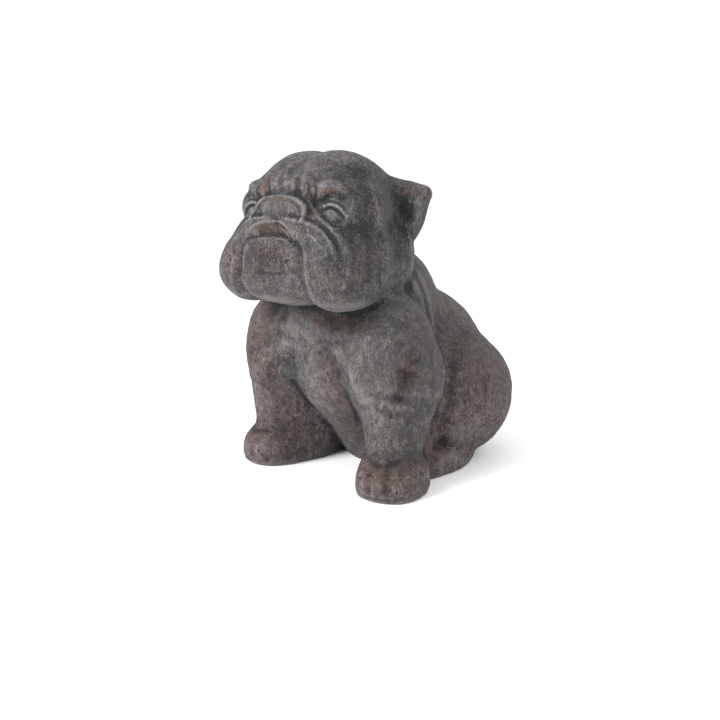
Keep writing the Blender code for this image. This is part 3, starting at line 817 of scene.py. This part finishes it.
    def relief(self, p: np.ndarray, chisel: Chisel) -> np.ndarray:
        """How far each point is lifted: the strokes, the lumps of hand modelling, and casting pits.

        Pits are where a fine noise is strongest, so they are few, small and round, and they lie in
        clusters.

        Args:
            p: the vertices.
            chisel: what works out the strokes on them.

        Returns:
            One height for each vertex, in hundredths of the dog's height.
        """
        lumpy = Grain(Seed.LUMPS.value).layered(p, self.lump_size, self.lump_layers)
        fine = Grain(Seed.HAMMER.value).layered(p, self.hammer_size, self.hammer_layers)
        pits = np.clip(Grain(Seed.PITS.value).at(p, self.pit_size) - self.pit_from, 0.0, 1.0)
        clusters = np.clip(Grain(Seed.CLUSTERS.value).at(p, self.cluster_size) - self.cluster_from, 0.0, 1.0)
        body = np.clip((self.lumps_to - p[:, 2]) / self.lumps_fade, self.lumps_least, 1.0)
        return (chisel.rise(STROKES) + chisel.rise(FINE_STROKES) + self.lumps * lumpy * body
                + self.hammer * fine - self.pit_depth * pits * clusters)

    def patched(self, p: np.ndarray, patches: tuple) -> np.ndarray:
        """How much of one tone each point has: the sum of its patches' bells exp(-|d / reach|^2).

        Args:
            p: the vertices.
            patches: the patches of that tone.

        Returns:
            One strength for each vertex, 0 far from every patch.
        """
        q = folded(p)
        out = np.zeros(len(p))
        for patch in patches:
            d = ((q if patch.both else p) - np.array(patch.at)) / np.array(patch.reach)
            out += patch.strength * np.exp(-(d * d).sum(1))
        return out

    def build(self, node: bpy.types.Object, box: tuple[Vector, Vector]) -> bpy.types.Object:
        """Makes the finished skin as an object that stands where the casting does.

        Args:
            node: the plain casting.
            box: the casting's lowest and highest corner.

        Returns:
            The object, with an attribute for each value that the patina reads.
        """
        mesh = self.start(node)
        p, normal = self.settle(mesh)
        chisel = Chisel(p, normal)
        p = p + self.relief(p, chisel)[:, None] * normal
        p[:, 2] = np.maximum(p[:, 2], 0.0)
        values = {
            "hollow": self.hollow(p, normal, self.hollow_rounds),
            "crease": self.hollow(p, normal, self.crease_rounds),
            "crest": chisel.crests(FINE_STROKES),
            # Painted shade for the slits of the fine furrows
            "slit_shade": chisel.slit_shades(FINE_STROKES),
            "head": np.clip((p[:, 2] - self.head_from) / self.head_fade, 0.0, 1.0),
            "rust": self.patched(p, RUST_PATCHES),
            "plum": self.patched(p, PLUM_PATCHES),
            "soot": self.patched(p, SOOT_PATCHES),
            # Dust patches, with painted light on the belly and under the jaw
            "dust_and_light": self.patched(p, DUST_AND_LIGHT_PATCHES),
        }
        middle = (p.min(0) + p.max(0)) / 2.0
        middle[2] = 0.0
        low, high = (np.array(corner) for corner in box)
        place = (low + high) / 2.0
        place[2] = low[2]
        # The fine skin goes no further out than the casting
        self.put(mesh, np.clip((p - middle) * HUNDREDTH + place, low, high))
        for name, value in values.items():
            mesh.attributes.new(name, "FLOAT", "POINT").data.foreach_set("value", value.astype(np.float32))
        mesh.shade_smooth()
        mesh.name = "weathered_skin"
        obj = bpy.data.objects.new("weathered_skin", mesh)
        bpy.context.scene.collection.objects.link(obj)
        return obj


@dataclass(frozen=True)
class Noise:
    """One fractal noise: its largest lumps in metres, its detail, its roughness and its twist."""

    size: float
    detail: float
    rough: float
    twist: float = 0.0


class Value:
    """A shader socket that takes part in sums: each operator adds one Math node."""

    def __init__(self, shader: "Shader", socket: bpy.types.NodeSocket) -> None:
        """Wraps the socket."""
        self.shader, self.socket = shader, socket

    def math(self, operation: str, *others: "Value | float", clamp: bool = False) -> "Value":
        """A Math node of this value and the others."""
        return self.shader.node("ShaderNodeMath", dict(enumerate((self, *others))), operation=operation,
                                use_clamp=clamp)

    def __add__(self, other: "Value | float") -> "Value":
        """self + other."""
        return self.math("ADD", other)

    def __sub__(self, other: "Value | float") -> "Value":
        """self - other."""
        return self.math("SUBTRACT", other)

    def __mul__(self, other: "Value | float") -> "Value":
        """self * other."""
        return self.math("MULTIPLY", other)

    def __rsub__(self, other: float) -> "Value":
        """other - self."""
        return self.shader.node("ShaderNodeMath", {0: other, 1: self}, operation="SUBTRACT")

    __radd__ = __add__
    __rmul__ = __mul__

    def clamped(self) -> "Value":
        """The value held between 0 and 1."""
        return self.math("ADD", 0.0, clamp=True)

    def between(self, low: float, high: float) -> "Value":
        """0 up to `low`, 1 from `high`, and a smooth step between."""
        return self.shader.node("ShaderNodeMapRange", {0: self, 1: low, 2: high, 3: 0.0, 4: 1.0},
                                interpolation_type="SMOOTHSTEP")


class Shader:
    """The node tree of one material, and the one method that adds nodes to it."""

    def __init__(self, name: str) -> None:
        """Makes the material, with its own surface shader.

        Args:
            name: the material's name.
        """
        self.material = bpy.data.materials.new(name)
        self.material.use_nodes = True
        self.tree = self.material.node_tree
        self.surface = self.tree.nodes["Principled BSDF"]
        self.place = self.node("ShaderNodeTexCoord", {}, output="Object")

    def node(self, kind: str, inputs: dict, output: int | str = 0, **settings: object) -> Value:
        """Adds a node.

        Args:
            kind: the node's type.
            inputs: what its sockets get, by name or number: a Value, a number, a colour or a vector.
            output: which of its outputs is returned.
            settings: its own settings, which are set before its sockets.

        Returns:
            The output as a Value.
        """
        node = self.tree.nodes.new(kind)
        for key, setting in settings.items():
            setattr(node, key, setting)
        for key, value in inputs.items():
            if isinstance(value, Value):
                self.tree.links.new(value.socket, node.inputs[key])
            else:
                node.inputs[key].default_value = value
        return Value(self, node.outputs[output])

    def feed(self, name: str, value: "Value | float | tuple") -> None:
        """Gives the surface shader's socket a value.

        Args:
            name: the socket.
            value: a Value to link to it, or a constant to set on it.
        """
        if isinstance(value, Value):
            self.tree.links.new(value.socket, self.surface.inputs[name])
        else:
            self.surface.inputs[name].default_value = value

    def attribute(self, name: str) -> Value:
        """A value that the mesh carries."""
        return self.node("ShaderNodeAttribute", {}, output="Fac", attribute_name=name)

    def bent(self, size: float, amount: float) -> Value:
        """The object's coordinates plus (noise - 1/2) times the amount, along each axis.

        Args:
            size: the noise's largest lumps, in metres.
            amount: how far apart the furthest pushes are, in metres.

        Returns:
            The bent coordinates.
        """
        noise = {"Vector": self.place, "Scale": 1.0 / size, "Detail": 1.0}
        push = self.node("ShaderNodeTexNoise", noise, output="Color")
        push = self.node("ShaderNodeVectorMath", {0: push, 1: (0.5, 0.5, 0.5)}, operation="SUBTRACT")
        push = self.node("ShaderNodeVectorMath", {0: push, "Scale": amount}, operation="SCALE")
        return self.node("ShaderNodeVectorMath", {0: self.place, 1: push}, operation="ADD")

    def stretched(self, place: Value, scale: tuple, turn: tuple) -> Value:
        """Coordinates turned by degrees and scaled."""
        radians = tuple(math.radians(t) for t in turn)
        return self.node("ShaderNodeMapping", {"Vector": place, "Rotation": radians, "Scale": scale})

    def noise(self, noise: Noise, place: Value | None = None) -> Value:
        """Fractal noise from 0 to 1, at the object's coordinates unless others are given."""
        return self.node("ShaderNodeTexNoise",
                         {"Vector": place or self.place, "Scale": 1.0 / noise.size, "Detail": noise.detail,
                          "Roughness": noise.rough, "Distortion": noise.twist})

    def mix(self, share: Value, a: "Value | tuple", b: "Value | tuple") -> Value:
        """Colour a where the share is 0, colour b where it is 1."""
        return self.node("ShaderNodeMix", {0: share, 6: a, 7: b}, output=2, data_type="RGBA")


class Tone(Enum):
    """The colours of the patina, as the share of light that they return."""

    IRON = (0.0395, 0.0372, 0.0360, 1.0)
    # Soot, and the colour of the painted shade in the slits of the fine furrows
    SOOT_AND_SHADE = (0.009, 0.009, 0.010, 1.0)
    PLUM = (0.057, 0.037, 0.033, 1.0)
    RUST = (0.062, 0.038, 0.026, 1.0)
    # Dust, and the colour of the painted light on the belly and under the jaw
    DUST_AND_LIGHT = (0.181, 0.172, 0.167, 1.0)


@dataclass(frozen=True)
class Patina:
    """Dry-brushed weathered iron: sooty hollows, dusty ridges, plum and rust-brown patches, with painted
    shade in the slits of the fine furrows and painted light on the belly and under the jaw.

    Each tone has a sum that says how much of it lies at a point, and a smooth step between its two
    `ends` makes a share of the sum. In a name such as soot_crease, the number is the weight of the
    second thing in the sum of the first. A `cover` is how much of what is below the tone hides.
    Lengths are in metres.
    """

    cloud: Noise = Noise(0.060, 3.0, 0.55, 0.6)
    mottle: Noise = Noise(0.014, 6.0, 0.70, 0.6)
    rub: Noise = Noise(0.0038, 6.0, 0.74, 1.8)
    hair: Noise = Noise(0.0024, 6.0, 0.72, 0.5)
    speck: Noise = Noise(0.0013, 3.0, 0.65)
    pit: Noise = Noise(0.0042, 2.0, 0.5)
    bend_size: float = 0.035
    bend: float = 0.014
    hair_scale: tuple = (1.0, 1.0, 0.13)
    hair_turn: tuple = (7.0, -5.0, 0.0)
    hair_share: float = 0.55
    rub_share: float = 0.45
    # The middle of each noise, and the slightly lower ones that soot and dust start from
    middle: float = 0.5
    lower: float = 0.47
    # The head is rubbed harder than the body
    head_rub: float = 0.25
    grain: float = 2.1
    # Painted shade in the slits of the fine furrows
    slit_shade_rub: float = 1.6
    slit_shade_ends: tuple = (0.15, 0.8)
    plum_patch: float = 0.8
    plum_noise: float = 1.8
    plum_ends: tuple = (0.1, 0.9)
    plum_cover: float = 0.9
    rust_mottle: float = 1.4
    rust_rub: float = 1.2
    rust_ends: tuple = (0.30, 1.0)
    rust_cover: float = 0.9
    soot_hollow: float = 0.6
    soot_crease: float = 5.0
    soot_patch: float = 0.6
    soot_mottle: float = 2.3
    soot_rub: float = 2.6
    soot_head: float = 0.8
    soot_ends: tuple = (0.0, 1.1)
    soot_cover: float = 0.85
    dust_crest_rub: float = 1.4
    dust_crest_least: float = 0.4
    dust_hollow: float = 0.20
    dust_crease: float = 3.5
    # The dust patches include painted light on the belly and under the jaw
    dust_and_light_patch: float = 0.42
    dust_soot_patch: float = 0.25
    dust_brush: float = 4.2
    dust_mottle: float = 1.2
    dust_ends: tuple = (0.0, 1.1)
    dust_cover: float = 0.65
    dust_off_rust: float = 0.5
    pit_ends: tuple = (0.37, 0.30)
    pit_plum: float = 0.9
    pit_least: float = 0.1
    pit_cover: float = 0.8
    roughness: float = 0.62
    roughness_dust: float = 0.22
    roughness_speck: float = 0.15
    metallic: float = 0.0
    specular: float = 0.15
    bump_depth: float = 0.0009
    bump_speck: float = 0.4
    bump_hair: float = 0.7
    bump_rub: float = 0.7
    bump_pit: float = 1.2

    def material(self) -> bpy.types.Material:
        """Builds the material: plum, rust, soot with the painted shade of slits, and dust with painted light,
        laid over iron in this order, and pits last.

        Returns:
            The material.
        """
        s = Shader("weathered_iron")
        hollow, crease, crest = s.attribute("hollow"), s.attribute("crease"), s.attribute("crest")
        bent = s.bent(self.bend_size, self.bend)
        cloud = s.noise(self.cloud)
        mottle = s.noise(self.mottle, bent)
        rub = s.noise(self.rub, bent)
        hair = s.noise(self.hair, s.stretched(bent, self.hair_scale, self.hair_turn))
        speck = s.noise(self.speck)
        brushed = hair * self.hair_share + rub * self.rub_share
        harder = s.attribute("head") * self.head_rub + 1.0
        grain = (speck - self.middle) * self.grain
        # Painted shade in the slits of the fine furrows, which the mesh is too coarse to cut deep enough
        slit_shade = (s.attribute("slit_shade") * (self.slit_shade_rub - rub)).between(*self.slit_shade_ends)
        # Plum and rust in their patches, broken up by the mottle; soot in hollows, and painted shade in the
        # slits; dust where rubbed, and painted light from some of its patches
        plum = (s.attribute("plum") * self.plum_patch
                + (cloud + mottle - 2.0 * self.middle) * self.plum_noise).between(*self.plum_ends)
        rust = (s.attribute("rust") + (mottle - self.middle) * self.rust_mottle
                + (rub - self.middle) * self.rust_rub).between(*self.rust_ends)
        # Soot share, which also holds the painted shade of the slits
        soot = (hollow * self.soot_hollow + crease * self.soot_crease + slit_shade
                + s.attribute("soot") * self.soot_patch + (self.lower - mottle) * self.soot_mottle
                + (self.middle - rub) * self.soot_rub * harder - grain
                + harder * self.soot_head - self.soot_head).between(*self.soot_ends)
        # Dust share, which also holds the painted light of the patches on the belly and under the jaw
        dust_and_light = (crest * (rub * self.dust_crest_rub - self.dust_crest_least)
                - hollow * self.dust_hollow - crease * self.dust_crease - slit_shade
                + s.attribute("dust_and_light") * self.dust_and_light_patch - s.attribute("soot") * self.dust_soot_patch
                + (brushed - self.lower) * self.dust_brush * harder + grain
                + (mottle - self.middle) * self.dust_mottle).between(*self.dust_ends)
        pit = (s.noise(self.pit).between(*self.pit_ends)
               * (s.attribute("plum") * self.pit_plum + self.pit_least))
        colour = s.mix(plum * self.plum_cover, Tone.IRON.value, Tone.PLUM.value)
        colour = s.mix(rust * self.rust_cover, colour, Tone.RUST.value)
        # Soot, and the painted shade of the slits
        colour = s.mix(soot * self.soot_cover, colour, Tone.SOOT_AND_SHADE.value)
        # Dust, and the painted light on the belly and under the jaw
        dust_and_light_share = (dust_and_light * (1.0 - rust * self.dust_off_rust) * self.dust_cover).clamped()
        colour = s.mix(dust_and_light_share, colour, Tone.DUST_AND_LIGHT.value)
        colour = s.mix((pit * self.pit_cover).clamped(), colour, Tone.SOOT_AND_SHADE.value)
        s.feed("Base Color", colour)
        s.feed("Roughness", self.roughness + dust_and_light * self.roughness_dust
               + (speck - self.middle) * self.roughness_speck)
        s.feed("Metallic", self.metallic)
        s.feed("Specular IOR Level", self.specular)
        height = speck * self.bump_speck + hair * self.bump_hair + rub * self.bump_rub - pit * self.bump_pit
        s.feed("Normal", s.node("ShaderNodeBump", {"Strength": 1.0, "Distance": self.bump_depth,
                                                   "Height": height}, output="Normal"))
        return s.material


@dataclass(frozen=True)
class Lamp:
    """A square soft light: its place and the length of its side in metres, and its power in watts."""

    name: str
    at: tuple
    size: float
    power: float


@dataclass
class Studio:
    """The plain floor, the soft lights and the camera at the photograph's angle.

    The camera's place is in hundredths of the dog's height, and its turn and dip are in degrees. The
    lens and the sensor are in millimetres, and the floor's side is in metres.
    """

    camera_at: tuple = (178.23, -206.50, 92.92)
    camera_turn: float = 41.6
    camera_dip: float = 12.23
    lens: float = 42.5
    sensor: float = 36.0
    nearest_seen: float = 0.05
    floor_side: float = 60.0
    floor_tone: float = 0.94
    floor_roughness: float = 0.9
    # The key light is in front, a little to the dog's right, and a weak one is behind
    lamps: tuple = (Lamp("key", (-0.45, -1.70, 1.10), 1.1, 62.0), Lamp("back", (1.00, 1.10, 1.20), 1.0, 11.0))
    sky_strength: float = 1.1

    def floor(self) -> None:
        """A plain pale floor at the casting's feet."""
        h = self.floor_side / 2.0
        mesh = bpy.data.meshes.new("floor")
        mesh.from_pydata([(-h, -h, 0), (h, -h, 0), (h, h, 0), (-h, h, 0)], [], [(0, 1, 2, 3)])
        floor = bpy.data.objects.new("floor", mesh)
        bpy.context.scene.collection.objects.link(floor)
        s = Shader("floor")
        s.feed("Base Color", (self.floor_tone, self.floor_tone, self.floor_tone, 1.0))
        s.feed("Roughness", self.floor_roughness)
        mesh.materials.append(s.material)

    def light(self, lamp: Lamp) -> None:
        """Sets up one light, pointed at the middle of the dog.

        Args:
            lamp: the light.
        """
        data = bpy.data.lights.new(lamp.name, "AREA")
        data.size = lamp.size
        data.energy = lamp.power
        obj = bpy.data.objects.new(lamp.name, data)
        bpy.context.scene.collection.objects.link(obj)
        obj.location = lamp.at
        aim = Vector((0.0, 0.0, HEIGHT / 2.0)) - Vector(lamp.at)
        obj.rotation_euler = aim.to_track_quat("-Z", "Y").to_euler()

    def lights(self) -> None:
        """The lamps, and a pale even sky."""
        for lamp in self.lamps:
            self.light(lamp)
        world = bpy.data.worlds.new("sky")
        world.use_nodes = True
        world.node_tree.nodes["Background"].inputs["Color"].default_value = (1.0, 1.0, 1.0, 1.0)
        world.node_tree.nodes["Background"].inputs["Strength"].default_value = self.sky_strength
        bpy.context.scene.world = world
        bpy.context.scene.view_settings.view_transform = "Standard"

    def camera(self) -> None:
        """The photograph's camera, the scene's own."""
        data = bpy.data.cameras.new("camera")
        data.lens = self.lens
        data.sensor_width = self.sensor
        data.clip_start = self.nearest_seen
        camera = bpy.data.objects.new("camera", data)
        bpy.context.scene.collection.objects.link(camera)
        x, y, z = self.camera_at
        camera.location = Vector((x, y - MIDDLE_Y, z)) * HUNDREDTH
        camera.rotation_euler = (math.radians(90.0 - self.camera_dip), 0.0, math.radians(self.camera_turn))
        bpy.context.scene.camera = camera


def main() -> None:
    """Builds the skin, its patina and the studio, and logs the skin's size."""
    logging.basicConfig(level=logging.INFO, format="%(name)s: %(message)s")
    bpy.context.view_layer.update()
    studio = Studio()
    studio.camera()
    skin = Skin(Figure()).build(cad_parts[CASTING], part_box(CASTING))
    skin.data.materials.clear()
    skin.data.materials.append(Patina().material())
    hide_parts(CASTING)
    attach(skin, "root")
    triangles = sum(len(polygon.vertices) - 2 for polygon in skin.data.polygons)
    log.info("skin of %d vertices and %d triangles", len(skin.data.vertices), triangles)
    studio.floor()
    studio.lights()


if __name__ == "__main__":
    main()
